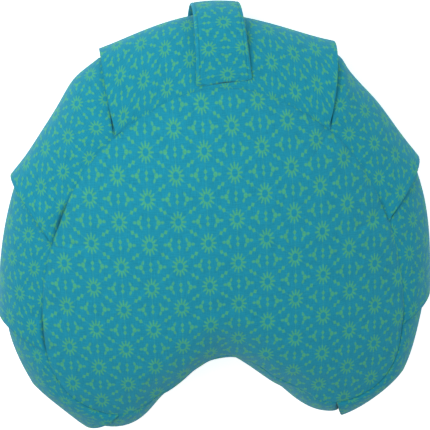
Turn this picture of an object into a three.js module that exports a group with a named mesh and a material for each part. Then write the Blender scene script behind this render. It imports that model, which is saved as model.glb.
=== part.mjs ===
// Crescent meditation cushion: a filled body with a pleated side band, and a strap handle at its back.
// Millimetres, +Z up. The body lies on its flat underside at z = 0. The strap is at the back, towards +Y,
// and the hollow of the crescent faces -Y. The origin is on the floor, under the top panel's middle.
import * as THREE from "three";

// Heights of the body
const TOP_SEAM_Z = 112; // seam of the top panel and the side band
const BOTTOM_SEAM_Z = 15; // seam of the side band and the bottom panel
const CROWN = 35; // rise of the top panel's middle above its seam
const CROWN_POWER = 2.6; // over 2, the panel is flat in its middle and rounds off towards the seam
const ROUNDING = 2; // stations each way over which the seam's hollow and corners fade out of the crown

// Round section of the side band, an arc of an ellipse that starts this far from its pole
const BAND_START = THREE.MathUtils.degToRad(38);

// Seam grooves, where the stitching draws the cloth in
const GROOVE_DEPTH = 2;
const GROOVE_WIDTH = 5; // distance from the seam at which about a third of the depth is left

// Knife pleats of the side band: the cloth rises towards a fold, drops over its edge and dips behind it
const PLEAT_REACH = 26; // length over which the raised cloth sinks back, on the strap's side of the fold
const PLEAT_TUCK = 14; // length of the dip on the other side
const PLEAT_DIP = 0.35; // depth of the dip, as a share of the fold's height
const FOLD_HALF_WIDTH = 0.6; // half the width of the drop over a fold's edge

// Bottom panel: it comes down to the floor over this share of the way in from its seam
const UNDERSIDE_ROUND = 0.18;

// Stations round the right half of the top seam, from the strap to the middle of the hollow; the left half
// mirrors their places. x, y: place of the seam. The rest is [right, left].
// out: how much further from the middle the seam lies.
// bulge: how far the band swells past the seam at mid height.
// drawn: how much the band is drawn in midway to the next station.
// fold: height of the pleat's fold, 0 for no pleat.
// slide: how far the fold is sewn from the station, towards the strap.
// lean: how far the fold has moved towards the strap at mid height.
const STATION_COLUMNS = ["name", "x", "y", "out", "bulge", "drawn", "fold", "slide", "lean"];
const STATIONS = [
  ["strap", 0, 135, [0, 0], [52, 52], [3, 1], [0, 0], [0, 0], [0, 0]],
  ["shoulder", 100, 88, [0, 0], [54, 52], [7, 8], [7, 6], [0, 9], [27, 32]],
  ["side", 154, -3, [0, 0], [43, 40], [0, 0], [5, 5], [0, 0], [25, 32]],
  ["flank", 166, -108, [3, 0], [29, 34], [2, 2], [4, 4], [0, 0], [16, 20]],
  ["lobe", 144, -158, [9, 0], [27, 29], [2, 2], [0, 0], [0, 0], [10, 18]],
  ["tip", 102, -180, [7, 0], [28, 32], [0, 0], [5, 5], [0, 0], [6, 18]],
  ["inner", 58, -160, [2, 0], [16, 12], [0, 0], [0, 0], [0, 0], [3, 8]],
  ["hollow", 0, -127, [0, 0], [11, 11], [0, 0], [0, 0], [0, 0], [0, 0]],
].map((row) => Object.fromEntries(row.map((value, column) => [STATION_COLUMNS[column], value])));
const LEAN_POWER = 0.75; // under 1, a fold does more of its leaning close to the seams

// Strap handle
const STRAP_WIDTH = 49; // at its sewn ends
const STRAP_WAIST = 45; // at the middle of its length
const STRAP_THICKNESS = 3; // several layers of cloth
const STRAP_OFFSET = 6; // to the right of the middle of the back
const STRAP_SLACK = 9; // how far its middle stands off the side band
const STRAP_CLEARANCE = 0.4; // from the body at its sewn ends
const STRAP_END = 0.012; // share of the band's height between each seam and the strap's end

// Fineness of the faces
const COLUMN_PITCH = 8;
const PANEL_RINGS = [0.22, 0.42, 0.6, 0.75, 0.86, 0.93, 0.972];
const BAND_ROWS = [0, 0.035, 0.09, 0.17, 0.26, 0.35, 0.44, 0.53, 0.62, 0.71, 0.8, 0.88, 0.95, 1];
const UNDERSIDE_RINGS = [0.25, 0.55, 1];
const ROUNDING_STEPS = 8;
const STRAP_STEPS = 24;
const STRAP_STRIPS = 6;

const CLOTH = { color: 0x2595b8, roughness: 0.85, metalness: 0 };

// The seam as a closed curve through the stations, clockwise from above; its third coordinate is the bulge
const HALF_TURN = STATIONS.length - 1;
const FULL_TURN = 2 * HALF_TURN;
const SLOPE_STEP = 1e-3;

function stationPoint(place) {
  const right = place <= HALF_TURN;
  const side = right ? 0 : 1;
  const { x, y, out, bulge } = STATIONS[right ? place : FULL_TURN - place];
  const further = 1 + out[side] / Math.hypot(x, y);
  return new THREE.Vector3((right ? x : -x) * further, y * further, bulge[side]);
}

const seamCurve = new THREE.CatmullRomCurve3(
  Array.from({ length: FULL_TURN }, (_, place) => stationPoint(place)), true, "centripetal");

function seamPoint(turn) {
  return seamCurve.getPoint(THREE.MathUtils.euclideanModulo(turn / FULL_TURN, 1));
}

// Place on the seam, its outward direction in plan, and the seam's length for one station step there
function seamFrame(turn) {
  const ahead = seamPoint(turn + SLOPE_STEP);
  const behind = seamPoint(turn - SLOPE_STEP);
  const along = new THREE.Vector2(ahead.x - behind.x, ahead.y - behind.y);
  const speed = along.length() / (2 * SLOPE_STEP);
  along.normalize();
  return { point: seamPoint(turn), outward: new THREE.Vector2(-along.y, along.x), speed };
}

// The seam with its hollow and corners averaged out, which the crown follows near its middle
function roundedSeam(turn) {
  const mean = new THREE.Vector3();
  for (let step = -ROUNDING_STEPS; step <= ROUNDING_STEPS; step += 1) {
    mean.add(seamPoint(turn + ROUNDING * step / ROUNDING_STEPS));
  }
  return mean.divideScalar(2 * ROUNDING_STEPS + 1);
}

// A place counted in stations from the strap, whichever side it is on
function fromStrap(turn) {
  const place = THREE.MathUtils.euclideanModulo(turn, FULL_TURN);
  const right = place <= HALF_TURN;
  const stations = right ? place : FULL_TURN - place;
  const before = Math.min(Math.floor(stations), HALF_TURN - 1);
  return { stations, before, share: stations - before, side: right ? 0 : 1 };
}

function leanAt(turn) {
  const { before, share, side } = fromStrap(turn);
  return THREE.MathUtils.lerp(STATIONS[before].lean[side], STATIONS[before + 1].lean[side], share);
}

function drawnInAt(turn) {
  const { before, share, side } = fromStrap(turn);
  return STATIONS[before].drawn[side] * 4 * share * (1 - share);
}

function pleatLiftAt(turn) {
  const { stations, side } = fromStrap(turn);
  let lift = 0;
  STATIONS.forEach((station, index) => {
    const fold = station.fold[side];
    if (fold === 0) return;
    const past = (stations - index) * seamFrame(side === 0 ? index : -index).speed + station.slide[side];
    if (past < 0) lift += fold * Math.exp(past / PLEAT_REACH);
    else lift -= fold * PLEAT_DIP * Math.exp(-past / PLEAT_TUCK);
  });
  return lift;
}

function grooveAt(distance) {
  return GROOVE_DEPTH * Math.exp(-((distance / GROOVE_WIDTH) ** 2));
}

// Section of the side band at a share of its way down: distance past the seam, height, outward direction
function bandSection(bulge, down) {
  const angle = BAND_START + (Math.PI - 2 * BAND_START) * down;
  const reach = bulge / (1 - Math.sin(BAND_START));
  const rise = (TOP_SEAM_Z - BOTTOM_SEAM_Z) / 2 / Math.cos(BAND_START);
  const out = reach * (Math.sin(angle) - Math.sin(BAND_START));
  const z = (TOP_SEAM_Z + BOTTOM_SEAM_Z) / 2 + rise * Math.cos(angle);
  return { out, z, normal: new THREE.Vector2(Math.sin(angle) / reach, Math.cos(angle) / rise).normalize() };
}

// Point of the side band, raised by `lift` from its plain round section
function bandPoint(turn, down, lift) {
  const { point, outward } = seamFrame(turn);
  const section = bandSection(point.z, down);
  const nearSeam = Math.min(down, 1 - down) * (TOP_SEAM_Z - BOTTOM_SEAM_Z);
  const raised = lift - grooveAt(nearSeam);
  const out = section.out + section.normal.x * raised;
  const z = section.z + section.normal.y * raised;
  return new THREE.Vector3(point.x + outward.x * out, point.y + outward.y * out, z);
}

// Point of the pleated band: its columns lean with the folds, so that a fold's edge runs along one
function pleatedPoint(turn, down) {
  const swell = Math.sin(Math.PI * down);
  const towardsStrap = fromStrap(turn).side === 0 ? -1 : 1;
  const leaned = turn + towardsStrap * leanAt(turn) * swell ** LEAN_POWER / seamFrame(turn).speed;
  return bandPoint(leaned, down, pleatLiftAt(turn) * Math.sqrt(swell) - drawnInAt(turn) * swell);
}

// A panel's point moved into the groove of its seam, as far as the band's own edge is there
function intoGroove(point, turn, seamDown, distance) {
  const { point: seam } = seamFrame(turn);
  const seamZ = seamDown === 0 ? TOP_SEAM_Z : BOTTOM_SEAM_Z;
  const drawn = bandPoint(turn, seamDown, 0).sub(new THREE.Vector3(seam.x, seam.y, seamZ));
  return point.addScaledVector(drawn, grooveAt(distance) / GROOVE_DEPTH);
}

// Point of the top panel, at a share of the way from its middle to its seam
function topPoint(turn, share) {
  const seam = seamPoint(turn);
  const point = roundedSeam(turn).lerp(seam, share).multiplyScalar(share);
  const distance = Math.hypot(seam.x - point.x, seam.y - point.y);
  point.z = TOP_SEAM_Z + CROWN * (1 - share ** CROWN_POWER);
  return intoGroove(point, turn, 0, distance);
}

// Point of the bottom panel, at a share of the way down from its seam to the flat it lies on
function undersidePoint(turn, wayDown) {
  const seam = seamPoint(turn);
  const point = seam.clone().multiplyScalar(1 - UNDERSIDE_ROUND * wayDown);
  const distance = Math.hypot(seam.x - point.x, seam.y - point.y);
  point.z = BOTTOM_SEAM_Z * (1 - wayDown) ** 2;
  return wayDown === 1 ? point : intoGroove(point, turn, 1, distance);
}

// Whether an even column lies so close to a fold that the two columns of its edge stand for it
function besideFold(turn) {
  const { stations, side } = fromStrap(turn);
  return STATIONS.some((station, index) => {
    if (station.fold[side] === 0) return false;
    const past = (stations - index) * seamFrame(side === 0 ? index : -index).speed + station.slide[side];
    return Math.abs(past) > 2 * FOLD_HALF_WIDTH && Math.abs(past) < COLUMN_PITCH / 3;
  });
}

// Columns round the body, in stations: evenly spaced, and two close together at each fold's edge
function columnTurns() {
  const turns = [];
  for (let place = 0; place < FULL_TURN; place += 1) {
    const { stations, side } = fromStrap(place);
    const { speed } = seamFrame(place);
    const half = FOLD_HALF_WIDTH / speed;
    const sewn = place + (side === 0 ? -1 : 1) * STATIONS[stations].slide[side] / speed;
    if (STATIONS[stations].fold[side] > 0) turns.push(sewn - half, sewn + half);
    else turns.push(place);
    const steps = Math.round(speed / COLUMN_PITCH);
    for (let step = 1; step < steps; step += 1) turns.push(place + step / steps);
  }
  return turns.filter((turn) => !besideFold(turn)).sort((a, b) => a - b);
}

// Closed surface through rings of points that run clockwise from above, first ring at the top
function closedSurface(topPole, rings, bottomPole) {
  const count = rings[0].length;
  const points = [topPole, ...rings.flat(), bottomPole];
  const last = points.length - 1;
  const at = (ring, column) => 1 + ring * count + (column % count);
  const faces = [];
  for (let column = 0; column < count; column += 1) {
    faces.push(0, at(0, column + 1), at(0, column));
    for (let ring = 0; ring < rings.length - 1; ring += 1) {
      faces.push(at(ring, column), at(ring, column + 1), at(ring + 1, column + 1));
      faces.push(at(ring, column), at(ring + 1, column + 1), at(ring + 1, column));
    }
    faces.push(last, at(rings.length - 1, column), at(rings.length - 1, column + 1));
  }
  return surfaceGeometry(points, faces);
}

function surfaceGeometry(points, faces) {
  const geometry = new THREE.BufferGeometry().setFromPoints(points);
  geometry.setIndex(faces);
  geometry.computeVertexNormals();
  return geometry;
}

function cushionBody() {
  const turns = columnTurns();
  const rings = [
    ...PANEL_RINGS.map((share) => turns.map((turn) => topPoint(turn, share))),
    ...BAND_ROWS.map((down) => turns.map((turn) => pleatedPoint(turn, down))),
    ...UNDERSIDE_RINGS.map((wayDown) => turns.map((turn) => undersidePoint(turn, wayDown))),
  ];
  return closedSurface(new THREE.Vector3(0, 0, TOP_SEAM_Z + CROWN), rings, new THREE.Vector3(0, 0, 0));
}

// Place on the seam whose point on the raised band lies a distance to the right of the strap's middle
function turnBeside(distance, down, lift) {
  return distance * SLOPE_STEP / bandPoint(SLOPE_STEP, down, lift).x;
}

// The strap is a closed loop of points across its width, carried down the band from seam to seam
function strapHandle() {
  const sections = [];
  for (let step = 0; step <= STRAP_STEPS; step += 1) {
    const down = STRAP_END + (1 - 2 * STRAP_END) * step / STRAP_STEPS;
    const swell = Math.sin(Math.PI * down);
    const halfWidth = THREE.MathUtils.lerp(STRAP_WIDTH, STRAP_WAIST, swell) / 2;
    const under = STRAP_CLEARANCE + STRAP_SLACK * swell;
    const across = Array.from({ length: STRAP_STRIPS + 1 }, (_, strip) => 2 * strip / STRAP_STRIPS - 1);
    const side = (offset, lift) =>
      bandPoint(turnBeside(STRAP_OFFSET + offset * halfWidth, down, lift), down, lift);
    const outer = across.map((offset) => side(offset, under + STRAP_THICKNESS));
    const inner = across.map((offset) => side(-offset, under));
    sections.push([...outer, ...inner]);
  }
  return cappedSweep(sections);
}

// Closed surface over sections of equal count, which run clockwise seen from the first towards the last
function cappedSweep(sections) {
  const count = sections[0].length;
  const at = (section, corner) => section * count + (corner % count);
  const faces = [];
  for (let section = 0; section < sections.length - 1; section += 1) {
    for (let corner = 0; corner < count; corner += 1) {
      faces.push(at(section, corner), at(section, corner + 1), at(section + 1, corner + 1));
      faces.push(at(section, corner), at(section + 1, corner + 1), at(section + 1, corner));
    }
  }
  const end = sections.length - 1;
  const half = count / 2;
  for (let corner = 0; corner < half - 1; corner += 1) {
    const opposite = count - 1 - corner;
    faces.push(at(0, corner + 1), at(0, corner), at(0, opposite));
    faces.push(at(0, corner + 1), at(0, opposite), at(0, opposite - 1));
    faces.push(at(end, corner), at(end, corner + 1), at(end, opposite));
    faces.push(at(end, corner + 1), at(end, opposite - 1), at(end, opposite));
  }
  return surfaceGeometry(sections.flat(), faces);
}

function piece(name, geometry) {
  const mesh = new THREE.Mesh(geometry, new THREE.MeshStandardMaterial(CLOTH));
  mesh.name = name;
  return mesh;
}

const cushion = new THREE.Group();
cushion.add(piece("cushion_body", cushionBody()));
cushion.add(piece("strap_handle", strapHandle()));

export default cushion;
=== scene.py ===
# Crescent meditation cushion: the finished cloth of the body and the strap handle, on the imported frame
import math
import bpy
import numpy as np
from mathutils import Matrix, Vector


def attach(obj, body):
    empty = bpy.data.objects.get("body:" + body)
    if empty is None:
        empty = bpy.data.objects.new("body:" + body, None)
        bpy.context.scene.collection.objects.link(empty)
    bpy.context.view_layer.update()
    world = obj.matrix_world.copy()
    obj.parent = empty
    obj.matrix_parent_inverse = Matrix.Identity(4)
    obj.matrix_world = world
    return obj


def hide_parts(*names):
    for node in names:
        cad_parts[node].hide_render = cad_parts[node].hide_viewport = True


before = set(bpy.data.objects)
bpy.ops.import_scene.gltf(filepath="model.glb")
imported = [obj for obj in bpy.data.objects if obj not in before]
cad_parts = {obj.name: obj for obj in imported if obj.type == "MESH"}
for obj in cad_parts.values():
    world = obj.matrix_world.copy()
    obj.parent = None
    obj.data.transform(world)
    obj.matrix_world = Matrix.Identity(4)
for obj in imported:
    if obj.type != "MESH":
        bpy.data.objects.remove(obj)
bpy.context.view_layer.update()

# Sizes are in millimetres, as in the part's own source, and become metres where a mesh is made
METRE = 0.001

# Heights and sections of the body
TOP_SEAM_Z = 112.0
BOTTOM_SEAM_Z = 15.0
BAND_HEIGHT = TOP_SEAM_Z - BOTTOM_SEAM_Z
CROWN = 35.0
CROWN_POWER = 2.6
ROUNDING = 2.0
BAND_START = math.radians(38)
UNDERSIDE_ROUND = 0.18
GROOVE_DEPTH = 0.6
GROOVE_WIDTH = 4.0
CREASE_DEPTH = 0.5
CREASE_WIDTH = 0.95

# Stretches of the seams that a fold pulls at: turn of the middle, half the length in stations, added depth.
# A turn counts stations clockwise from the strap, as seen from above.
SEAM_PULLS = ((12.24, 0.17, 2.2), (11.2, 0.24, 1.6), (4.1, 0.9, 1.5), (9.5, 0.35, 1.6), (3.1, 0.2, 0.8),
              (6.15, 0.45, 1.3), (10.25, 0.4, 0.9), (8.2, 0.4, 1.2), (1.86, 0.1, 0.7))

# Painted shade that darkens the cloth in its creases: along the seams, for each millimetre of a pull, and
# beside the folds
PAINTED_SEAM_SHADE = 0.03
PAINTED_PULL_SHADE = 0.27
PAINTED_FOLD_SHADE = 0.6

# Knife pleats: how far the cloth above a fold is lifted, how far the cloth below it is pressed down, and
# how deep that is as a share of the fold's height
PLEAT_REACH = 26.0
PLEAT_TUCK = 14.0
PLEAT_DIP = 0.35

# Stations round the right half of the top seam, from the strap to the middle of the hollow; the left half
# mirrors their places. A pair is (right, left).
# out: how much further from the middle the seam lies
# bulge: how far the band swells past the seam
# drawn: how much the band is drawn in midway to the next station
# fold: height of a pleat's fold
# slide: how far the fold is sewn from the station, towards the strap
# lean: how far the fold has moved towards the strap at mid height
STATION_COLUMNS = ("x", "y", "out", "bulge", "drawn", "fold", "slide", "lean")
STATION_ROWS = {
    "strap": (0, 135, (0, 0), (52, 52), (3, 1), (0, 0), (0, 0), (0, 0)),
    "shoulder": (100, 88, (0, 0), (54, 52), (7, 8), (7, 6), (0, 9), (27, 32)),
    "side": (154, -3, (0, 0), (43, 40), (0, 0), (5, 5), (0, 0), (25, 32)),
    "flank": (166, -108, (3, 0), (29, 34), (2, 2), (4, 4), (0, 0), (16, 20)),
    "lobe": (144, -158, (9, 0), (27, 29), (2, 2), (0, 0), (0, 0), (10, 18)),
    "tip": (102, -180, (7, 0), (28, 32), (0, 0), (5, 5), (0, 0), (6, 18)),
    "inner": (58, -160, (2, 0), (16, 12), (0, 0), (0, 0), (0, 0), (3, 8)),
    "hollow": (0, -127, (0, 0), (11, 11), (0, 0), (0, 0), (0, 0), (0, 0)),
}
STATIONS = [dict(zip(STATION_COLUMNS, row)) for row in STATION_ROWS.values()]
HALF_TURN = len(STATIONS) - 1
FULL_TURN = 2 * HALF_TURN
FIRST_FOLD = 1
LEAN_POWER = 0.75

# Steps for slopes and for averages along the seam, in stations
SLOPE_STEP = 1e-3
ROUNDING_STEPS = 8

# Section across a fold: place past the fold where the cloth lies flat, place where it is folded, share of
# the way up from the cloth below to the cloth above, share of the crevice's depth, and share of the painted
# shade on the fold's edge and in its crevice
FOLD_SECTION = (
    (-7.0, -7.0, 1.0, 0.0, 0.0), (-4.6, -4.2, 1.0, 0.0, 0.0), (-2.8, -2.0, 1.0, 0.0, 0.0),
    (-1.6, -0.8, 1.0, 0.0, 0.1), (-0.9, -0.1, 0.97, 0.0, 0.5), (-0.5, 0.25, 0.85, 0.1, 1.0),
    (-0.2, 0.4, 0.5, 0.4, 1.0), (0.0, 0.4, 0.2, 0.8, 1.0), (0.3, 0.5, 0.0, 1.0, 1.0),
    (0.6, 0.75, 0.0, 0.9, 0.9), (0.9, 1.0, 0.0, 0.5, 0.7), (1.4, 1.4, 0.0, 0.2, 0.3),
    (2.4, 2.4, 0.0, 0.05, 0.1), (4.2, 4.2, 0.0, 0.0, 0.0), (5.6, 5.6, 0.0, 0.0, 0.0),
    (7.0, 7.0, 0.0, 0.0, 0.0))
NO_FOLD = -1.0
CREVICE_DEPTH = 3.2
CREVICE_START = 4.0

# Small swellings of the band beside its folds: turn of the middle, half the length in stations, height
PUCKERS = ((12.8, 0.15, 4.0), (1.1, 0.06, 2.5), (1.3, 0.14, -1.6))

# Fineness of the visible mesh. The seam rows are distances from a seam, and the underside rings are shares
# of the way from the bottom seam to the flat underside.
COLUMN_PITCH = 2.6
FOLD_STEPS = 3
SEAM_ROWS = (0.0, 0.3, 0.6, 0.9, 1.3, 1.8, 2.6, 3.6, 5.0, 6.8, 9.0)
PANEL_REACH = 160.0
PANEL_RINGS = 44
BAND_ROWS = 56
UNDERSIDE_RINGS = (0.04, 0.08, 0.14, 0.2, 0.3, 0.4, 0.52, 0.65, 0.8, 1.0)

# Cloth simulation: the cover, a little larger than its seams allow, is blown up by its filling. It is run
# on every second column and row. Held are the seams, the middle of the panel and a row of the underside.
SETTLE_FRAMES = 18
SETTLE_STEP = 2
SETTLE_CAP = 1.5
COVER_EASE = 0.012
FILLING_PRESSURE = 2.0
HELD_MIDDLE = 0.35
HELD_UNDERSIDE_ROW = 3
SOFTENING_PASSES = 2
LEAST_MOVE = 1e-9
COTTON = {
    "quality": 6,
    "mass": 0.15,
    "air_damping": 4,
    "tension_stiffness": 15,
    "compression_stiffness": 15,
    "shear_stiffness": 8,
    "bending_stiffness": 0.3,
    "shrink_min": -COVER_EASE,
    "use_pressure": True,
    "uniform_pressure_force": FILLING_PRESSURE,
}

# Strap handle. It starts at a share of the way down the band, thins towards its sewn ends and slants at the
# top one. The corners of its section are shares of its half width and of its thickness.
STRAP_WIDTH = 49.0
STRAP_WAIST = 45.0
STRAP_THICKNESS = 3.0
STRAP_OFFSET = 6.0
STRAP_SLACK = 9.0
STRAP_CLEARANCE = 0.4
STRAP_END = 0.012
STRAP_SLANT = 0.03
STRAP_SLANT_REACH = 0.15
STRAP_STEPS = 60
STRAP_TAPER = 9.0
STRAP_END_SHARE = 0.12
STITCH_HEIGHT = 0.8
# Painted shade in the stitch grooves along the strap's top
PAINTED_STITCH_SHADE = 0.18
STRAP_TOP = (
    (0.0, 1.0), (0.3, 1.0), (0.6, 1.0), (0.78, 1.0), (0.83, 1.0), (0.86, STITCH_HEIGHT), (0.89, 1.0),
    (0.93, 1.0), (0.97, 0.88))
STRAP_SECTION = ([(-across, height) for across, height in STRAP_TOP[:0:-1]] + list(STRAP_TOP)
                 + [(1.0, 0.65), (1.0, 0.25)] + [(across, 0.0) for across in (0.96, 0.6, 0.0, -0.6, -0.96)]
                 + [(-1.0, 0.25), (-1.0, 0.65)])

# Print: suns on a triangular lattice, drawn narrower across the cushion than along it. Starts are in star
# spacings; the band has one for each stretch between its folds and for its end under the strap.
PRINT_MAP = "print"
# The crease attribute holds painted shade, darkening the cloth in its seams, creases and folds
PAINTED_CREASE_SHADE = "painted_crease_shade"
STAR_SPACING = 41.25
PRINT_WIDTH_SHARE = 0.7225
PRINT_STRETCH = np.array((1 / PRINT_WIDTH_SHARE, 1.0, 1.0))
TUCKED_CLOTH = 31.0
PANEL_PRINT_START = (0.537, -0.089)
BAND_PRINT_SCALE = 0.82
BAND_PRINT_STARTS = (
    (-0.44, -0.16), (0, 0), (0, 0), (0, 0), (0, 0), (0, 0), (0, 0.15), (0, 0.36), (0.49, 0.41))
STRAP_PRINT_START = (-0.1, 0.207)
STRAP_PRINT_LENGTH = 0.656

# Motifs of the print, in star spacings: suns with rays, diamonds between two suns, and sprigs between three
RAYS = 12
NEIGHBOURS = 6
ROW_STEP = math.sqrt(3) / 2
SPRIG_PLACE = 1 / math.sqrt(3)
SUN_HOLE = 0.09
SUN_REACH = 0.238
RAY_ROOT = 0.032
RAY_TAPER = 0.1
DIAMOND_PLACE = 0.435
DIAMOND_LENGTH = 0.066
DIAMOND_WIDTH = 0.055
ARM_PLACE = 0.118
ARM_LENGTH = 0.054
ARM_WIDTH = 0.034
HEART_REACH = 0.06
LINE_WIDTH = 0.006
LINE_INK = 0.34
INK_EDGE = 0.018

# Cloth colours, linear, and the unevenness of dye and threads
GROUND_DARK = (0.01, 0.269, 0.393)
GROUND_LIGHT = (0.013, 0.309, 0.446)
INK_COLOUR = (0.068, 0.425, 0.242)
INK_WEAR = 0.25
WEAR_SCALE = 2.5
WEAR_DETAIL = 3.0
SLUB_DETAIL = 2.0
SLUB_FINE = 60.0
SLUB_LONG = 4.0
SLUB_SHADE = 0.35
SLUB_HEIGHT = 2.0
THREADS = 300.0
WEAVE_HEIGHT = 0.5
WEAVE_BUMP = 0.35
WEAVE_DEPTH = 0.25
COTTON_ROUGHNESS = 0.88
COTTON_SPECULAR = 0.12
SHEEN = 0.1
SHEEN_ROUGHNESS = 0.5

# Studio in metres: light of the surroundings, soft lamps (name, place, size, power) and a pale floor
WHITE = (1, 1, 1, 1)
SKY_STRENGTH = 0.4
LAMPS = (
    ("key", (-0.38, 0.42, 0.9), 0.46, 5.3),
    ("fill", (1.4, 0.4, 1.6), 1.6, 5.0),
)
LAMP_AIM = (0, 0, 0.06)
FLOOR_HALF = 3.0
FLOOR_LEVEL = -0.0005
FLOOR_COLOUR = (0.93, 0.93, 0.93, 1)
FLOOR_ROUGHNESS = 0.9
FLOOR_SPECULAR = 0.1
FLOOR_GLOW = 0.68

# Camera, with the frame's width at the aim
CAMERA_TILT = math.radians(22)
CAMERA_LEFT = math.radians(6)
CAMERA_ROLL = math.radians(1.8)
CAMERA_DISTANCE = 1400.0
CAMERA_AIM = (-1.0, -3.0, 65.0)
FRAME_WIDTH = 400.0
SENSOR_WIDTH = 36.0


def station_ring():
    """Seam places and bulges of every station, clockwise from above."""
    ring = []
    for side, mirror, stations in ((0, 1, STATIONS), (1, -1, STATIONS[HALF_TURN - 1:0:-1])):
        for station in stations:
            further = 1 + station["out"][side] / math.hypot(station["x"], station["y"])
            ring.append((mirror * station["x"] * further, station["y"] * further, station["bulge"][side]))
    return np.array(ring)


RING = station_ring()


def seam_point(turn):
    """Points (x, y, bulge) of the closed centripetal curve through the stations."""
    turn = np.asarray(turn, float)
    before = np.floor(turn).astype(int)
    share = (turn - before)[..., None]
    p0, p1, p2, p3 = (RING[(before + step) % FULL_TURN] for step in (-1, 0, 1, 2))
    pairs = ((p0, p1), (p1, p2), (p2, p3))
    d1, d2, d3 = (np.sqrt(np.linalg.norm(b - a, axis=-1))[..., None] for a, b in pairs)
    m1 = ((p1 - p0) / d1 - (p2 - p0) / (d1 + d2) + (p2 - p1) / d2) * d2
    m2 = ((p2 - p1) / d2 - (p3 - p1) / (d2 + d3) + (p3 - p2) / d3) * d2
    square, cube = share ** 2, share ** 3
    return ((2 * cube - 3 * square + 1) * p1 + (cube - 2 * square + share) * m1
            + (3 * square - 2 * cube) * p2 + (cube - square) * m2)


def seam_frame(turn):
    """Seam point, outward direction in plan and length of one station step."""
    turn = np.asarray(turn, float)
    along = (seam_point(turn + SLOPE_STEP) - seam_point(turn - SLOPE_STEP))[..., :2]
    length = np.linalg.norm(along, axis=-1)
    along = along / length[..., None]
    return seam_point(turn), np.stack((-along[..., 1], along[..., 0]), -1), length / (2 * SLOPE_STEP)


def station_step(turn):
    """Length of the seam to the next station, at the pace it has here."""
    return float(seam_frame(turn)[2])


def rounded_seam(turn):
    """The seam with its hollow and corners averaged out."""
    steps = np.linspace(-ROUNDING, ROUNDING, 2 * ROUNDING_STEPS + 1)
    return np.mean([seam_point(turn + step) for step in steps], axis=0)


def from_strap(turn):
    """Stations from the strap, and whether the place is on the left."""
    place = np.mod(turn, FULL_TURN)
    left = place > HALF_TURN
    return np.where(left, FULL_TURN - place, place), left


def station_values(turn, column):
    """A station column, taken straight from station to station."""
    stations, left = from_strap(turn)
    index = np.arange(HALF_TURN + 1)
    both = [np.interp(stations, index, [s[column][side] for s in STATIONS]) for side in (0, 1)]
    return np.where(left, both[1], both[0])


def drawn_in(turn):
    """How much the band is drawn in, most of all midway between two stations."""
    stations, left = from_strap(turn)
    before = np.minimum(np.floor(stations).astype(int), HALF_TURN - 1)
    share = stations - before
    return np.array([s["drawn"] for s in STATIONS])[before, left.astype(int)] * 4 * share * (1 - share)


def near(turn, places):
    """Sum of round bumps in a table of (turn, half length, height)."""
    away = [np.mod(turn - middle + HALF_TURN, FULL_TURN) - HALF_TURN for middle, _, _ in places]
    return sum(height * np.exp(-(past / half) ** 2) for past, (_, half, height) in zip(away, places))


def seam_pull(turn):
    """Depth that the folds add to a seam's crease."""
    return near(turn, SEAM_PULLS)


def groove(turn, distance):
    """Depth of a seam's groove and of the crease in its middle."""
    return (GROOVE_DEPTH * np.exp(-(distance / GROOVE_WIDTH) ** 2)
            + (CREASE_DEPTH + seam_pull(turn)) * np.exp(-(distance / CREASE_WIDTH) ** 2))


def painted_seam_shade(turn, distance):
    """Painted shade in a seam's crease, darkening the cloth where shade falls."""
    return (PAINTED_SEAM_SHADE + PAINTED_PULL_SHADE * seam_pull(turn)) * np.exp(-(distance / CREASE_WIDTH) ** 2)


def from_seam(down):
    """Height between a place on the band and the nearer of its two seams."""
    return np.minimum(down, 1 - down) * BAND_HEIGHT


def band_section(bulge, down):
    """Distance past the seam, height, and outward direction of the band's round section."""
    angle = BAND_START + (math.pi - 2 * BAND_START) * down
    reach = bulge / (1 - math.sin(BAND_START))
    rise = BAND_HEIGHT / 2 / math.cos(BAND_START)
    out = reach * (np.sin(angle) - math.sin(BAND_START))
    z = (TOP_SEAM_Z + BOTTOM_SEAM_Z) / 2 + rise * np.cos(angle)
    across, up = np.sin(angle) / reach, np.cos(angle) / rise
    size = np.hypot(across, up)
    return out, z, across / size, up / size


def band_point(turn, down, lift):
    """Points of the side band, raised by lift from its plain round section."""
    point, outward, _ = seam_frame(turn)
    out, z, across, up = band_section(point[..., 2], down)
    raised = lift - groove(turn, from_seam(down))
    plan = point[..., :2] + outward * (out + across * raised)[..., None]
    return np.concatenate((plan, (z + up * raised)[..., None]), -1)


def fold_section():
    """The section across a fold with its corners rounded."""
    index = np.arange(len(FOLD_SECTION))
    fine = np.linspace(0, index[-1], FOLD_STEPS * index[-1] + 1)
    around = [fine + step for step in (-0.5, 0, 0.5)]
    return np.stack([np.mean([np.interp(place, index, column) for place in around], axis=0)
                     for column in zip(*FOLD_SECTION)], -1)


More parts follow.
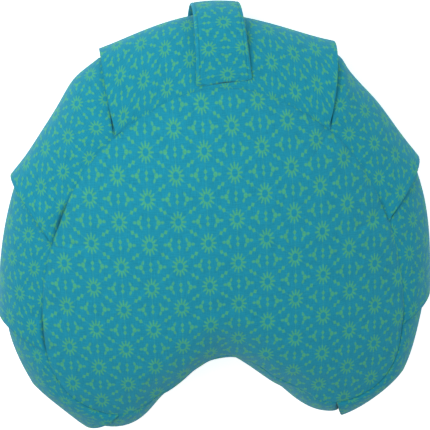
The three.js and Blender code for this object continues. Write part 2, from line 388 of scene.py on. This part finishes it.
class Columns:
    """Columns round the body: even ones, and the section of each fold."""

    def __init__(self):
        rows = []
        for place in range(FULL_TURN):
            rows += self.fold_columns(place)
            start, end = self.fold_ends(place)[1], self.fold_ends(place + 1)[0]
            count = max(2, round(station_step(place + 0.5) * (end - start) / COLUMN_PITCH))
            rows += [self.plain_column(start + (end - start) * step / count) for step in range(1, count)]
        rows = np.array(rows)
        rows[:, 0] = FIRST_FOLD + np.mod(rows[:, 0] - FIRST_FOLD, FULL_TURN)
        rows = rows[np.argsort(rows[:, 0], kind="stable")]
        self.turn, self.shift, self.share, self.crevice, self.painted_shade, self.pleat = rows.T.copy()

    @staticmethod
    def plain_column(place):
        """A column away from the folds: turn, shift, share, crevice, painted shade and the station of its
        pleat.
        """
        return place, 0.0, NO_FOLD, 0.0, 0.0, 0

    @staticmethod
    def fold_at(place):
        """Height of the fold at a station, the turn where it is sewn, and the way away from the strap."""
        stations, left = from_strap(place)
        station, side = STATIONS[int(stations)], int(left)
        away = -1 if left else 1
        sewn = place - away * station["slide"][side] / station_step(place)
        return station["fold"][side], sewn, away

    def fold_ends(self, place):
        """Turns at which a fold's section starts and ends, or the station itself where it has no fold."""
        height, sewn, _ = self.fold_at(place)
        if not height:
            return place, place
        half = FOLD_SECTION[-1][0] / station_step(place)
        return sewn - half, sewn + half

    def fold_columns(self, place):
        """The columns of a station's fold, or one plain column where it has no fold."""
        height, sewn, away = self.fold_at(place)
        if not height:
            return [self.plain_column(place)]
        step = station_step(place)
        stations, _ = from_strap(place)
        # The last value of each fold column is the painted shade at the fold's edge and in its crevice
        return [(sewn + away * flat / step, folded - flat, share, depth, painted_shade_share, int(stations))
                for flat, folded, share, depth, painted_shade_share in fold_section()[::away]]

    def lifts(self):
        """Lift of every column from all the folds on its side, at full fold height."""
        stations, left = from_strap(self.turn)
        total = np.zeros_like(self.turn)
        for index, station in enumerate(STATIONS):
            fold = np.where(left, station["fold"][1], station["fold"][0])
            slide = np.where(left, station["slide"][1], station["slide"][0])
            speed = np.where(left, seam_frame(-index)[2], seam_frame(index)[2])
            past = (stations - index) * speed + slide
            above = fold * np.exp(np.minimum(past, 0) / PLEAT_REACH)
            below = -fold * PLEAT_DIP * np.exp(-np.maximum(past, 0) / PLEAT_TUCK)
            share = np.where((self.pleat == index) & (self.share != NO_FOLD), self.share, past < 0)
            total += share * above + (1 - share) * below
        return total


def pleated_rows(columns, downs):
    """Rows of points of the pleated band, one for each share of the way down."""
    _, left = from_strap(columns.turn)
    away = np.where(left, -1.0, 1.0)
    _, _, speed = seam_frame(columns.turn)
    lean = station_values(columns.turn, "lean")
    lift = columns.lifts()
    drawn = drawn_in(columns.turn) - near(columns.turn, PUCKERS)
    rows = []
    for down in downs:
        swell = math.sin(math.pi * down)
        shift = columns.shift * math.sqrt(swell) - lean * swell ** LEAN_POWER
        moved = columns.turn + away * shift / speed
        crevice = columns.crevice * CREVICE_DEPTH * (1 - math.exp(-from_seam(down) / CREVICE_START))
        rows.append(band_point(moved, down, lift * math.sqrt(swell) - drawn * swell - crevice))
    return np.array(rows)


def into_groove(point, turn, seam_down, distance):
    """Points of a panel, drawn into its seam's groove as the band is."""
    seam = seam_point(turn)
    seam[:, 2] = TOP_SEAM_Z if seam_down == 0 else BOTTOM_SEAM_Z
    drawn = band_point(turn, seam_down, 0.0) - seam
    return point + drawn * (groove(turn, distance) / groove(turn, 0))[:, None]


def top_row(turn, share):
    """A ring of the crowned top panel, at a share of the way from its middle to the seam."""
    seam = seam_point(turn)
    rounded = rounded_seam(turn)
    point = (rounded + (seam - rounded) * share) * share
    distance = np.hypot(seam[:, 0] - point[:, 0], seam[:, 1] - point[:, 1])
    point[:, 2] = TOP_SEAM_Z + CROWN * (1 - share ** CROWN_POWER)
    return into_groove(point, turn, 0, distance)


def underside_row(turn, way_down):
    """A ring of the rounded rim between the bottom seam and the flat underside."""
    seam = seam_point(turn)
    point = seam * (1 - UNDERSIDE_ROUND * way_down)
    distance = np.hypot(seam[:, 0] - point[:, 0], seam[:, 1] - point[:, 1])
    point[:, 2] = BOTTOM_SEAM_Z * (1 - way_down) ** 2
    return point if way_down == 1 else into_groove(point, turn, 1, distance)


def row_places(count, length, near_start, near_end):
    """Shares from 0 to 1: even ones, and the seam rows beside each end that has a seam."""
    beside = [distance / length for distance in SEAM_ROWS]
    low = beside[-1] if near_start else 0
    high = 1 - beside[-1] if near_end else 1
    places = {place for place in np.linspace(0, 1, count + 1) if low < place < high}
    places |= set(beside) if near_start else {0.0}
    places |= {1 - share for share in beside} if near_end else {1.0}
    return sorted(places)


def spread(values, known, wanted, axis):
    """Values between known places, straight from one to the next."""
    before = np.clip(np.searchsorted(known, wanted, "right") - 1, 0, len(known) - 2)
    share = (wanted - known[before]) / (known[before + 1] - known[before])
    share = share[:, None, None] if axis == 0 else share[None, :, None]
    return np.take(values, before, axis) * (1 - share) + np.take(values, before + 1, axis) * share


def soften(values):
    """Rows of values evened out with their neighbours, all round and up and down."""
    for _ in range(SOFTENING_PASSES):
        values = (np.roll(values, 1, 1) + 2 * values + np.roll(values, -1, 1)) / 4
        values[1:-1] = (values[:-2] + 2 * values[1:-1] + values[2:]) / 4
    return values


def ring_faces(upper, lower, here, after):
    """Faces between two rows of points, which start at two point numbers."""
    return np.stack((upper + here, upper + after, lower + after, lower + here), -1)


def simulate(rows, held):
    """Rows of a closed tube of cloth after its simulation, with the held rows kept in place."""
    count = rows.shape[1]
    here = np.arange(count)
    after = np.roll(here, -1)
    faces = np.concatenate([ring_faces(row * count, (row + 1) * count, here, after)
                            for row in range(len(rows) - 1)])
    mesh = bpy.data.meshes.new("settling")
    mesh.from_pydata((rows.reshape(-1, 3) * METRE).tolist(), [], faces.tolist())
    piece = bpy.data.objects.new("settling", mesh)
    bpy.context.collection.objects.link(piece)
    group = piece.vertex_groups.new(name="held")
    group.add(np.flatnonzero(np.repeat(held, count)).tolist(), 1.0, "REPLACE")
    modifier = piece.modifiers.new("settle", "CLOTH")
    for setting, value in COTTON.items():
        setattr(modifier.settings, setting, value)
    modifier.settings.vertex_group_mass = group.name
    modifier.settings.effector_weights.gravity = 0
    modifier.collision_settings.use_collision = False
    modifier.point_cache.frame_start = 1
    modifier.point_cache.frame_end = SETTLE_FRAMES
    scene = bpy.context.scene
    for number in range(1, SETTLE_FRAMES + 1):
        scene.frame_set(number)
    settled = piece.evaluated_get(bpy.context.evaluated_depsgraph_get())
    places = np.empty(len(settled.data.vertices) * 3)
    settled.data.vertices.foreach_get("co", places)
    bpy.data.objects.remove(piece)
    bpy.data.meshes.remove(mesh)
    scene.frame_set(1)
    return places.reshape(rows.shape) / METRE


class Cloth:
    """Rows of points that are sewn together, and the place of each point on the cloth before sewing."""

    def __init__(self, columns):
        self.columns = columns
        turn = columns.turn
        panel_shares = row_places(PANEL_RINGS, PANEL_REACH, False, True)[1:]
        band_downs = row_places(BAND_ROWS, BAND_HEIGHT, True, True)
        self.band_downs = np.array(band_downs)
        self.panel = np.array([top_row(turn, share) for share in panel_shares])
        self.band = pleated_rows(columns, band_downs)
        self.underside = np.array([underside_row(turn, way) for way in (0.0,) + UNDERSIDE_RINGS])
        self.panel[-1] = self.band[0]
        self.underside[0] = self.band[-1]
        # Painted shade for every point, darkening the cloth in its seams, creases and folds
        self.painted_shade = np.concatenate((self.painted_panel_shade(), self.painted_band_shade(), self.painted_underside_shade()))

    def painted_panel_shade(self):
        """Painted shade in the creases of the panel's rows but the last, which the band shares."""
        away = np.linalg.norm(self.panel[:-1] - self.panel[-1], axis=-1)
        return painted_seam_shade(self.columns.turn, away)

    def painted_band_shade(self):
        """Painted shade in the creases along the band's seams and beside its folds."""
        away = from_seam(self.band_downs)[:, None]
        beside_fold = PAINTED_FOLD_SHADE * self.columns.painted_shade * (1 - np.exp(-away / CREVICE_START))
        return np.maximum(painted_seam_shade(self.columns.turn[None], away), beside_fold)

    def painted_underside_shade(self):
        """Painted shade in the creases of the underside's rows but the last, which the band shares."""
        away = np.linalg.norm(self.underside[1:] - self.underside[0], axis=-1)
        return painted_seam_shade(self.columns.turn, away)

    def settle(self):
        """Move every point as a cloth simulation of the cover moves it, within the cap."""
        rows = np.concatenate((self.panel, self.band[1:], self.underside[1:]))
        seams = len(self.panel) - 1, len(self.panel) + len(self.band) - 2
        middle = int(HELD_MIDDLE * len(self.panel))
        fixed = (middle, *seams, seams[1] + HELD_UNDERSIDE_ROW)
        coarse_rows = sorted({*fixed, *range(middle, seams[0], SETTLE_STEP),
                              *range(seams[0], seams[1], SETTLE_STEP)})
        coarse_columns = np.arange(0, rows.shape[1], SETTLE_STEP)
        start = rows[coarse_rows][:, coarse_columns]
        moved = simulate(start, np.isin(coarse_rows, fixed)) - start
        length = np.linalg.norm(moved, axis=-1, keepdims=True)
        moved *= SETTLE_CAP * np.tanh(length / SETTLE_CAP) / np.maximum(length, LEAST_MOVE)
        wide = np.concatenate((moved, moved[:, :1]), axis=1)
        wide = spread(wide, np.append(coarse_columns, rows.shape[1]), np.arange(rows.shape[1]), 1)
        inside = np.arange(coarse_rows[0], coarse_rows[-1] + 1)
        fine = soften(spread(wide, np.array(coarse_rows), inside, 0))
        fine[np.isin(inside, seams)] = 0
        rows[inside] += fine
        self.panel = rows[:seams[0] + 1]
        self.band = rows[seams[0]:seams[1] + 1]
        self.underside = rows[seams[1]:]

    def panel_print(self, rows, pole):
        """A panel spread flat round its middle."""
        wide_rows = (rows - pole) * PRINT_STRETCH
        first = np.linalg.norm(wide_rows[:1], axis=-1)
        lengths = np.linalg.norm(np.diff(wide_rows, axis=0), axis=-1)
        reach = np.concatenate((first, first + np.cumsum(lengths, axis=0)))
        plan = wide_rows[..., :2]
        flat = plan / np.linalg.norm(plan, axis=-1, keepdims=True) * reach[..., None]
        return flat / STAR_SPACING + np.array(PANEL_PRINT_START)

    def band_print(self):
        """The band spread flat, one stretch between folds after the other, with the tucked cloth left out.
        Its two ends meet under the strap."""
        wide_rows = self.band * PRINT_STRETCH
        down = np.cumsum(np.linalg.norm(np.diff(wide_rows, axis=0), axis=-1), axis=0)
        down = np.concatenate((np.zeros((1, down.shape[1])), down))
        along = np.cumsum(np.linalg.norm(np.diff(wide_rows, axis=1), axis=-1), axis=1)
        along = np.concatenate((np.zeros((len(along), 1)), along), axis=1)
        places = [Columns.fold_at(place) for place in range(FIRST_FOLD + 1, FULL_TURN + 1)]
        folds = [sewn for height, sewn, _ in places if height]
        stretch = np.searchsorted(folds, self.columns.turn)
        swell = np.sin(np.pi * self.band_downs) ** LEAN_POWER
        lean = station_values(self.columns.turn, "lean")
        _, left = from_strap(self.columns.turn)
        for index in range(len(folds) + 1):
            inside = np.flatnonzero(stretch == index)
            middle = inside[len(inside) // 2]
            start = along[len(along) // 2, middle] + index * TUCKED_CLOTH
            moved = lean[middle] * swell * (1 if left[middle] else -1)
            along[:, inside] += (start + moved - along[:, middle])[:, None]
        starts = np.array(BAND_PRINT_STARTS)[stretch + (self.columns.turn > FULL_TURN)]
        return np.stack((along, -down), -1) / (STAR_SPACING * BAND_PRINT_SCALE) + starts


def join_rows(cloth):
    """Points, faces, print places and painted crease shade of the closed body."""
    count = cloth.panel.shape[1]
    pole_top = np.array((0, 0, TOP_SEAM_Z + CROWN))
    pole_bottom = np.zeros(3)
    rows = np.concatenate((cloth.panel[:-1], cloth.band, cloth.underside[1:]))
    points = np.concatenate((pole_top[None], rows.reshape(-1, 3), pole_bottom[None]))
    panel_end = len(cloth.panel) - 1
    band_end = panel_end + len(cloth.band) - 1
    top = cloth.panel_print(cloth.panel, pole_top)
    bottom = cloth.panel_print(cloth.underside[::-1], pole_bottom)[::-1]
    here = np.arange(count)
    after = np.roll(here, -1)
    middle = np.tile(PANEL_PRINT_START, (count, 1))
    faces = np.stack((np.zeros_like(here), 1 + after, 1 + here), -1).tolist()
    places = [np.stack((middle, top[0, after], top[0, here]), 1).reshape(-1, 2)]
    for prints, first in ((top, 0), (cloth.band_print(), panel_end), (bottom, band_end)):
        for row in range(len(prints) - 1):
            upper, lower = 1 + (first + row) * count, 1 + (first + row + 1) * count
            faces += ring_faces(upper, lower, here, after).tolist()
            corners = prints[row, here], prints[row, after], prints[row + 1, after], prints[row + 1, here]
            places.append(np.stack(corners, 1).reshape(-1, 2))
    last = len(points) - 1
    last_row = last - count
    faces += np.stack((np.full_like(here, last), last_row + here, last_row + after), -1).tolist()
    places.append(np.stack((middle, bottom[-1, here], bottom[-1, after]), 1).reshape(-1, 2))
    painted_shade = np.concatenate(((0.0,), cloth.painted_shade.ravel(), (0.0,)))
    return points, faces, np.concatenate(places), painted_shade


def make_piece(name, points, faces, places, painted_shade, material):
    """Mesh object in metres with a map of its print and the painted shade of its creases."""
    mesh = bpy.data.meshes.new(name)
    mesh.from_pydata((points * METRE).tolist(), [], faces)
    layer = mesh.uv_layers.new(name=PRINT_MAP)
    layer.data.foreach_set("uv", places.astype(np.float32).ravel())
    painted_shade_attribute = mesh.attributes.new(PAINTED_CREASE_SHADE, "FLOAT", "POINT")
    painted_shade_attribute.data.foreach_set("value", painted_shade.astype(np.float32))
    mesh.polygons.foreach_set("use_smooth", np.ones(len(mesh.polygons), bool))
    mesh.materials.append(material)
    mesh.validate()
    piece = bpy.data.objects.new(name, mesh)
    bpy.context.collection.objects.link(piece)
    return piece


def subdivide(piece):
    """Split every face in four on a smooth surface, applied to the mesh."""
    modifier = piece.modifiers.new("finer", "SUBSURF")
    modifier.levels = 1
    modifier.render_levels = 1
    bpy.context.view_layer.objects.active = piece
    bpy.ops.object.modifier_apply(modifier=modifier.name)


class Sum:
    """A number worked out by shader nodes, written as ordinary arithmetic."""

    def __init__(self, tree, socket):
        self.tree = tree
        self.socket = socket

    def node(self, operation, *others):
        node = self.tree.nodes.new("ShaderNodeMath")
        node.operation = operation
        for slot, value in zip(node.inputs, (self,) + others):
            if isinstance(value, Sum):
                self.tree.links.new(value.socket, slot)
            else:
                slot.default_value = value
        return Sum(self.tree, node.outputs[0])

    def __add__(self, other):
        return self.node("ADD", other)

    def __sub__(self, other):
        return self.node("SUBTRACT", other)

    def __mul__(self, other):
        return self.node("MULTIPLY", other)

    def __neg__(self):
        return self.node("MULTIPLY", -1.0)

    def wrapped(self, half):
        return self.node("WRAP", half, -half)

    def size(self):
        return self.node("ABSOLUTE")

    def greater(self, other):
        return self.node("GREATER_THAN", other)

    def largest(self, *others):
        result = self
        for other in others:
            result = result.node("MAXIMUM", other)
        return result

    def smallest(self, other):
        return self.node("MINIMUM", other)

    def soft(self, edge):
        """0 up to minus the edge, 1 from the edge on, and smooth between."""
        node = self.tree.nodes.new("ShaderNodeMapRange")
        node.interpolation_type = "SMOOTHSTEP"
        self.tree.links.new(self.socket, node.inputs["Value"])
        node.inputs["From Min"].default_value = -edge
        node.inputs["From Max"].default_value = edge
        return Sum(self.tree, node.outputs["Result"])


def choose(chosen, if_one, if_zero):
    """One of two numbers, by a third that is 1 or 0."""
    return if_zero + (if_one - if_zero) * chosen


def star_print(along, across):
    """Share of print ink: sun rings on a triangular lattice, pairs of diamonds between neighbours, and
    three-armed sprigs between three suns. Lengths are in star spacings; neighbours lie along `across`."""
    first = along.wrapped(ROW_STEP), across.wrapped(0.5)
    second = (along + ROW_STEP).wrapped(ROW_STEP), (across + 0.5).wrapped(0.5)
    reach = [x * x + y * y for x, y in (first, second)]
    nearer = reach[1].greater(reach[0])
    x, y = (choose(nearer, a, b) for a, b in zip(first, second))
    radius = (x * x + y * y).node("SQRT")
    angle = x.node("ARCTAN2", y)
    ray = angle.wrapped(math.pi / RAYS).size() * radius
    sun = -(radius - SUN_HOLE) * RAY_TAPER + RAY_ROOT - ray
    sun = sun.smallest(radius - SUN_HOLE).smallest(-radius + SUN_REACH).soft(INK_EDGE)
    side = angle.wrapped(math.pi / NEIGHBOURS).size()
    outward = radius * side.node("COSINE")
    beside = radius * side.node("SINE")
    diamond = (outward - DIAMOND_PLACE).size() * (1 / DIAMOND_LENGTH) + beside * (1 / DIAMOND_WIDTH)
    diamond = ((-diamond + 1.0) * DIAMOND_WIDTH).soft(INK_EDGE)
    turned = -side + math.pi / NEIGHBOURS
    arm_along = -(radius * turned.node("COSINE")) + SPRIG_PLACE
    arm_beside = radius * turned.node("SINE")
    petal = ((arm_along - ARM_PLACE) * (1 / ARM_LENGTH)).node("POWER", 2.0)
    petal = petal + (arm_beside * (1 / ARM_WIDTH)) * (arm_beside * (1 / ARM_WIDTH))
    petal = ((-petal + 1.0) * (ARM_WIDTH / 2)).soft(INK_EDGE)
    heart = (arm_along * arm_along + arm_beside * arm_beside).node("SQRT")
    heart = (-heart + HEART_REACH).soft(INK_EDGE)
    thread = (-beside + LINE_WIDTH).smallest(outward - SUN_REACH).soft(INK_EDGE) * LINE_INK
    return sun.largest(diamond, petal, heart, thread)


def noise(tree, places, scale, detail):
    """Smooth noise over the print's places, stretched by its two scales."""
    stretch = tree.nodes.new("ShaderNodeMapping")
    stretch.inputs["Scale"].default_value = (scale[0], scale[1], 1)
    tree.links.new(places, stretch.inputs["Vector"])
    node = tree.nodes.new("ShaderNodeTexNoise")
    node.noise_dimensions = "2D"
    node.inputs["Scale"].default_value = 1.0
    node.inputs["Detail"].default_value = detail
    tree.links.new(stretch.outputs["Vector"], node.inputs["Vector"])
    return Sum(tree, node.outputs["Fac"])


def mix_colours(tree, share, first, second):
    """Socket of a mix of two colours, each a plain colour or a socket."""
    node = tree.nodes.new("ShaderNodeMix")
    node.data_type = "RGBA"
    tree.links.new(share.socket, node.inputs["Factor"])
    for slot, colour in (("A", first), ("B", second)):
        target = [i for i in node.inputs if i.name == slot and i.type == "RGBA"][0]
        if isinstance(colour, tuple):
            target.default_value = colour + (1.0,)
        else:
            tree.links.new(colour, target)
    return [o for o in node.outputs if o.type == "RGBA"][0]


def cloth_material(name, turned):
    """Plain-weave cotton with a two-colour print and painted shade in its creases; a turned print has its
    neighbours along the width.
    """
    material = bpy.data.materials.new(name)
    material.use_nodes = True
    tree = material.node_tree
    shader = tree.nodes["Principled BSDF"]
    places = tree.nodes.new("ShaderNodeUVMap")
    places.uv_map = PRINT_MAP
    parts = tree.nodes.new("ShaderNodeSeparateXYZ")
    tree.links.new(places.outputs["UV"], parts.inputs[0])
    width, length = Sum(tree, parts.outputs["X"]), Sum(tree, parts.outputs["Y"])
    ink = star_print(length, width) if turned else star_print(width, length)
    worn = noise(tree, places.outputs["UV"], (WEAR_SCALE, WEAR_SCALE), WEAR_DETAIL)
    ink = ink * (worn * INK_WEAR + (1 - INK_WEAR / 2))
    ground = mix_colours(tree, worn, GROUND_DARK, GROUND_LIGHT)
    colour = mix_colours(tree, ink, ground, INK_COLOUR)
    slubs_across = noise(tree, places.outputs["UV"], (SLUB_FINE, SLUB_LONG), SLUB_DETAIL)
    slubs_along = noise(tree, places.outputs["UV"], (SLUB_LONG, SLUB_FINE), SLUB_DETAIL)
    thread = (slubs_across + slubs_along - 1.0) * SLUB_SHADE
    shaded = tree.nodes.new("ShaderNodeHueSaturation")
    tree.links.new(colour, shaded.inputs["Color"])
    # Painted shade: the crease attribute darkens the colour's value in the seams, creases and folds
    painted_shade_attribute = tree.nodes.new("ShaderNodeAttribute")
    painted_shade_attribute.attribute_name = PAINTED_CREASE_SHADE
    painted_shade_factor = -Sum(tree, painted_shade_attribute.outputs["Fac"]) + 1.0
    tree.links.new(((thread + 1.0) * painted_shade_factor).socket, shaded.inputs["Value"])
    tree.links.new(shaded.outputs["Color"], shader.inputs["Base Color"])
    weave = (width * THREADS).node("SINE") * (length * THREADS).node("SINE")
    bump = tree.nodes.new("ShaderNodeBump")
    bump.inputs["Strength"].default_value = WEAVE_BUMP
    bump.inputs["Distance"].default_value = WEAVE_DEPTH * METRE
    tree.links.new((weave * WEAVE_HEIGHT + thread * SLUB_HEIGHT).socket, bump.inputs["Height"])
    tree.links.new(bump.outputs["Normal"], shader.inputs["Normal"])
    shader.inputs["Roughness"].default_value = COTTON_ROUGHNESS
    shader.inputs["Specular IOR Level"].default_value = COTTON_SPECULAR
    shader.inputs["Sheen Weight"].default_value = SHEEN
    shader.inputs["Sheen Roughness"].default_value = SHEEN_ROUGHNESS
    return material


def make_body():
    cloth = Cloth(Columns())
    cloth.settle()
    body = make_piece("cushion_cover", *join_rows(cloth), cloth_material("cover_cotton", False))
    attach(body, "root")
    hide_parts("cushion_body")
    return body


def strap_sections():
    """Closed sections of the strap, round at its edges, from the top seam to the bottom one."""
    end_swell = math.sin(math.pi * STRAP_END)
    sections = []
    for down in np.linspace(STRAP_END, 1 - STRAP_END, STRAP_STEPS + 1):
        swell = math.sin(math.pi * down)
        half = (STRAP_WIDTH + (STRAP_WAIST - STRAP_WIDTH) * swell) / 2
        under = STRAP_CLEARANCE + STRAP_SLACK * (swell - end_swell)
        from_end = from_seam(down) - from_seam(STRAP_END)
        thickness = STRAP_THICKNESS * (1 - (1 - STRAP_END_SHARE) * math.exp(-from_end / STRAP_TAPER))
        slant = STRAP_SLANT * math.exp((STRAP_END - down) / STRAP_SLANT_REACH)
        section = []
        for across, height in STRAP_SECTION:
            lift = under + height * thickness
            slanted = down + slant * (1 + across) / 2
            turn = (STRAP_OFFSET + across * half) * SLOPE_STEP / band_point(SLOPE_STEP, slanted, lift)[0]
            section.append(band_point(turn, slanted, lift))
        sections.append(section)
    return np.array(sections)


def make_strap(body):
    """The strap handle, lying over the band of the cover."""
    sections = strap_sections()
    count = sections.shape[1]
    middle = sections[:, len(STRAP_TOP) - 1]
    down = np.concatenate(((0,), np.cumsum(np.linalg.norm(np.diff(middle, axis=0), axis=-1))))
    faces, places = [], []

    def place(row, corner):
        across = (sections[row, corner % count, 0] - STRAP_OFFSET) / PRINT_WIDTH_SHARE
        along = -down[row] / STRAP_PRINT_LENGTH
        return across / STAR_SPACING + STRAP_PRINT_START[0], along / STAR_SPACING + STRAP_PRINT_START[1]

    for row in range(len(sections) - 1):
        for corner in range(count):
            quad = ((row, corner), (row, corner + 1), (row + 1, corner + 1), (row + 1, corner))
            faces.append([r * count + c % count for r, c in quad])
            places += [place(r, c) for r, c in quad]
    for row, order in ((0, -1), (len(sections) - 1, 1)):
        cap = list(range(count))[::order]
        faces.append([row * count + c for c in cap])
        places += [place(row, c) for c in cap]
    # Painted shade in the stitch grooves along the strap's top
    stitch_painted_shade = [PAINTED_STITCH_SHADE if height == STITCH_HEIGHT else 0.0 for _, height in STRAP_SECTION]
    strap = make_piece("strap_band", sections.reshape(-1, 3), faces, np.array(places),
                       np.tile(stitch_painted_shade, len(sections)), cloth_material("strap_cotton", True))
    subdivide(strap)
    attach(strap, "root")
    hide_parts("strap_handle")


def make_floor():
    mesh = bpy.data.meshes.new("floor")
    sides = ((-1, -1), (1, -1), (1, 1), (-1, 1))
    corners = [(x * FLOOR_HALF, y * FLOOR_HALF, FLOOR_LEVEL) for x, y in sides]
    mesh.from_pydata(corners, [], [(0, 1, 2, 3)])
    material = bpy.data.materials.new("pale_floor")
    material.use_nodes = True
    shader = material.node_tree.nodes["Principled BSDF"]
    shader.inputs["Base Color"].default_value = FLOOR_COLOUR
    shader.inputs["Emission Color"].default_value = WHITE
    shader.inputs["Emission Strength"].default_value = FLOOR_GLOW
    shader.inputs["Roughness"].default_value = FLOOR_ROUGHNESS
    shader.inputs["Specular IOR Level"].default_value = FLOOR_SPECULAR
    mesh.materials.append(material)
    floor = bpy.data.objects.new("floor", mesh)
    bpy.context.collection.objects.link(floor)


def add_lamp(name, place, size, power):
    data = bpy.data.lights.new(name, "AREA")
    data.size = size
    data.energy = power
    light = bpy.data.objects.new(name, data)
    light.location = place
    light.rotation_euler = (Vector(LAMP_AIM) - Vector(place)).to_track_quat("-Z", "Y").to_euler()
    bpy.context.collection.objects.link(light)


def make_light():
    world = bpy.data.worlds.new("studio")
    world.use_nodes = True
    background = world.node_tree.nodes["Background"]
    background.inputs["Color"].default_value = WHITE
    background.inputs["Strength"].default_value = SKY_STRENGTH
    scene = bpy.context.scene
    scene.world = world
    scene.view_settings.view_transform = "Standard"
    for lamp in LAMPS:
        add_lamp(*lamp)


def make_camera():
    """Camera at the photograph's angle to the top panel, turned a little about its own axis."""
    towards = Vector((-math.tan(CAMERA_LEFT), math.tan(CAMERA_TILT), 1)).normalized()
    right = Vector((0, 1, 0)).cross(towards).normalized()
    up = towards.cross(right)
    rolled_right = right * math.cos(CAMERA_ROLL) - up * math.sin(CAMERA_ROLL)
    rolled_up = up * math.cos(CAMERA_ROLL) + right * math.sin(CAMERA_ROLL)
    data = bpy.data.cameras.new("camera")
    data.sensor_width = SENSOR_WIDTH
    data.lens = SENSOR_WIDTH * CAMERA_DISTANCE / FRAME_WIDTH
    camera = bpy.data.objects.new("camera", data)
    matrix = Matrix((rolled_right, rolled_up, towards)).transposed().to_4x4()
    matrix.translation = (Vector(CAMERA_AIM) + towards * CAMERA_DISTANCE) * METRE
    camera.matrix_world = matrix
    bpy.context.collection.objects.link(camera)
    bpy.context.scene.camera = camera


make_camera()
make_light()
make_floor()
make_strap(make_body())
